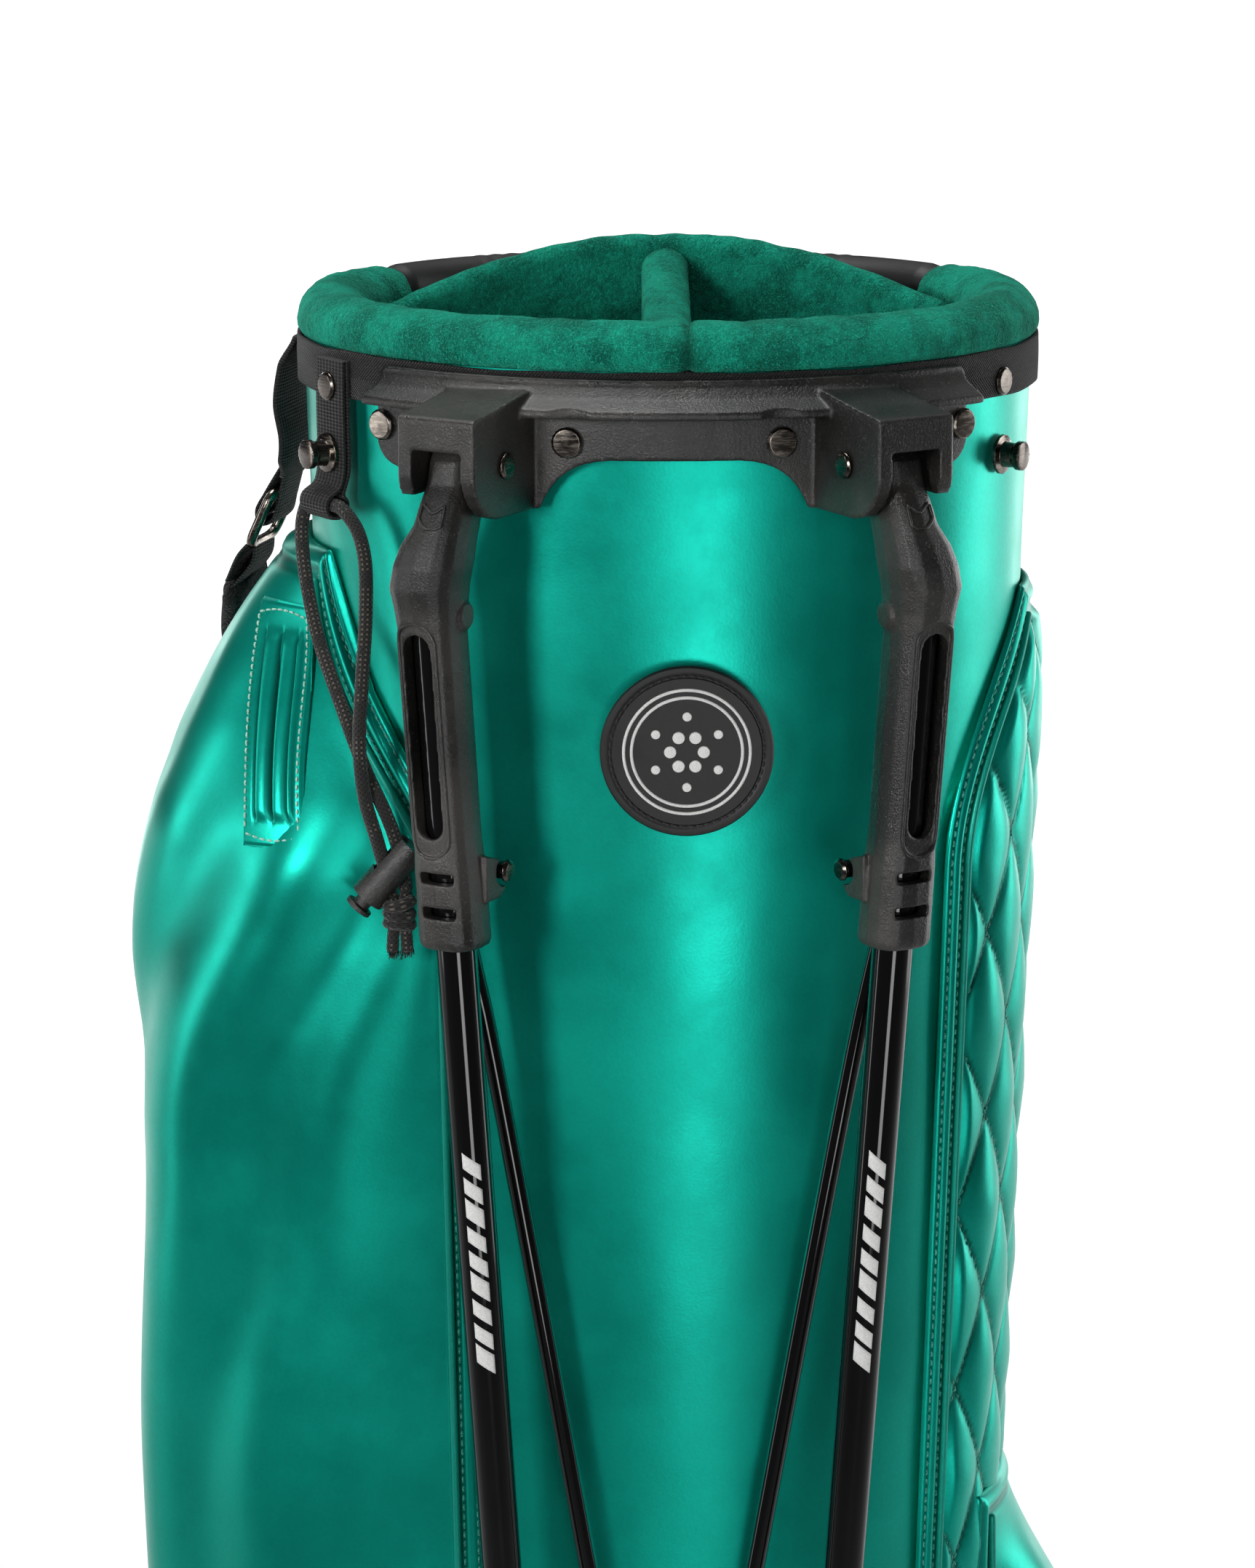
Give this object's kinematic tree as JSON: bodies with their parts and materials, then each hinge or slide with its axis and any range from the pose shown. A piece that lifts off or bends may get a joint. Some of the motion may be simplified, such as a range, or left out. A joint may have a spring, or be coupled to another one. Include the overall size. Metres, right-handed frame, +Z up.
{
  "type": "golf stand bag",
  "caption": "Golf stand bag with an oval body, plush cuff, twin fold-out legs worked by a hinged base, side pockets with zips, padded straps and a cord with a lock.",
  "frame": {"origin": "middle of the base's underside, where the bag stands", "axes": "+Z up along the bag, +X to the right when looking at the legs, -Y towards the legs"},
  "size_m": [0.3334, 0.2811, 0.8905],
  "materials": {
    "leather_green": "pebbled synthetic leather, satin, deep green",
    "plush_green": "short-pile plush, deep green",
    "webbing_black": "woven black webbing and tape",
    "strap_black": "padded black mesh",
    "moulding_black": "moulded plastic with a fine grain",
    "gloss_black": "gloss black paint",
    "rubber_black": "matt moulded rubber",
    "gunmetal": "dark antique plating",
    "cord_black": "braided cord, black with beige flecks"
  },
  "bodies": {
    "bag": {"body_shell": "leather_green", "cuff_ring": "moulding_black", "cuff_plush_rim": "plush_green", "rear_handle_grip": "rubber_black", "back_wall": "plush_green", "centre_divider": "plush_green", "twill_band": "webbing_black", "stay_rod_left": "gloss_black", "stay_rod_right": "gloss_black", "top_bracket": "moulding_black", "bracket_rivet_left": "gunmetal", "bracket_rivet_right": "gunmetal", "tab_rivet_left": "gunmetal", "tab_rivet_right": "gunmetal", "pivot_pin_left": "gunmetal", "pivot_pin_right": "gunmetal", "base_boot": "moulding_black", "actuator_hinge_pin": "gunmetal", "garment_pocket": "leather_green", "quilted_pocket": "leather_green", "ball_pocket": "leather_green", "hip_pad": "leather_green", "slot_patch": "leather_green", "round_patch": "rubber_black", "garment_zip": "webbing_black", "valuables_zip": "webbing_black", "ball_zip": "webbing_black", "webbing_loop": "webbing_black", "cap_rivet_left": "gunmetal", "cap_rivet_right": "gunmetal", "snap_stud_left": "gunmetal", "snap_stud_right": "gunmetal", "cord_strand_back": "cord_black", "cord_strand_front": "cord_black", "cord_knot": "cord_black", "shoulder_strap_left": "strap_black", "shoulder_strap_right": "strap_black", "strap_webbing_left": "webbing_black", "strap_webbing_right": "webbing_black", "strap_buckle_left": "gunmetal", "strap_buckle_right": "gunmetal"},
    "leg_left": {"leg_socket_left": "moulding_black", "leg_tube_left": "gloss_black", "leg_foot_left": "rubber_black", "rod_retainer_left": "gunmetal"},
    "leg_right": {"leg_socket_right": "moulding_black", "leg_tube_right": "gloss_black", "leg_foot_right": "rubber_black", "rod_retainer_right": "gunmetal"},
    "rod_left": {"actuator_rod_left": "gloss_black"},
    "rod_right": {"actuator_rod_right": "gloss_black"},
    "base_flap": {"base_actuator": "moulding_black"},
    "garment_slider": {"garment_zip_slider": "gunmetal"},
    "garment_pull": {"garment_zip_pull": "webbing_black"},
    "valuables_slider": {"valuables_zip_slider": "gunmetal"},
    "valuables_pull": {"valuables_zip_pull": "webbing_black"},
    "ball_slider": {"ball_zip_slider": "gunmetal"},
    "ball_pull": {"ball_zip_pull": "webbing_black"},
    "cord_lock": {"cord_lock_barrel": "moulding_black"},
    "lock_button": {"cord_lock_plunger": "moulding_black"}
  },
  "joints": [
    {"name": "leg_left_swing", "type": "hinge", "parent": "bag", "child": "leg_left", "pos_m": [-0.0631, -0.105, 0.84], "axis": [-0.866, 0.5, 0], "range_deg": [0, 33]},
    {"name": "leg_right_swing", "type": "hinge", "parent": "bag", "child": "leg_right", "pos_m": [0.0631, -0.105, 0.84], "axis": [-0.866, -0.5, 0], "range_deg": [0, 33]},
    {"name": "rod_left_pivot", "type": "hinge", "parent": "leg_left", "child": "rod_left", "pos_m": [-0.06214, -0.10389, 0.713], "axis": [-0.866, 0.5, 0], "range_deg": [-38.9, 0]},
    {"name": "rod_right_pivot", "type": "hinge", "parent": "leg_right", "child": "rod_right", "pos_m": [0.06214, -0.10389, 0.713], "axis": [-0.866, -0.5, 0], "range_deg": [-38.9, 0]},
    {"name": "base_tilt", "type": "hinge", "parent": "bag", "child": "base_flap", "pos_m": [0, -0.012, 0.008], "axis": [-1, 0, 0], "range_deg": [0, 16.7]},
    {"name": "garment_zip_run", "type": "slide", "parent": "bag", "child": "garment_slider", "axis": [-0.0293, 0.004, 0.9996], "range_m": [-0.134, 0]},
    {"name": "garment_pull_flip", "type": "hinge", "parent": "garment_slider", "child": "garment_pull", "pos_m": [-0.14497, 0.03316, 0.58316], "axis": [0.8945, 0.4463, 0.0245], "range_deg": [0, 150]},
    {"name": "valuables_zip_run", "type": "slide", "parent": "bag", "child": "valuables_slider", "axis": [0.0281, 0.0061, 0.9996], "range_m": [-0.184, 0]},
    {"name": "valuables_pull_flip", "type": "hinge", "parent": "valuables_slider", "child": "valuables_pull", "pos_m": [0.121, 0.03881, 0.71306], "axis": [0.3913, -0.9202, -0.0054], "range_deg": [0, 150]},
    {"name": "ball_zip_run", "type": "slide", "parent": "bag", "child": "ball_slider", "axis": [0.0058, 0.0006, 1], "range_m": [-0.079, 0]},
    {"name": "ball_pull_flip", "type": "hinge", "parent": "ball_slider", "child": "ball_pull", "pos_m": [0.15532, 0.01571, 0.37825], "axis": [0.1207, -0.9927, -0.0001], "range_deg": [0, 150]},
    {"name": "cord_lock_slide", "type": "slide", "parent": "bag", "child": "cord_lock", "axis": [-0.2149, 0, 0.9766], "range_m": [0, 0.006]},
    {"name": "lock_button_press", "type": "slide", "parent": "cord_lock", "child": "lock_button", "axis": [0.6655, 0, 0.7464], "range_m": [0, 0.0015], "stiffness_N_per_m": 300}
  ],
  "couplings": [
    {"joint": "leg_right_swing", "follows": "leg_left_swing", "ratio": 1},
    {"joint": "rod_left_pivot", "follows": "leg_left_swing", "ratio": -1.1727},
    {"joint": "rod_right_pivot", "follows": "leg_left_swing", "ratio": -1.1727},
    {"joint": "base_tilt", "follows": "leg_left_swing", "ratio": 0.503}
  ]
}
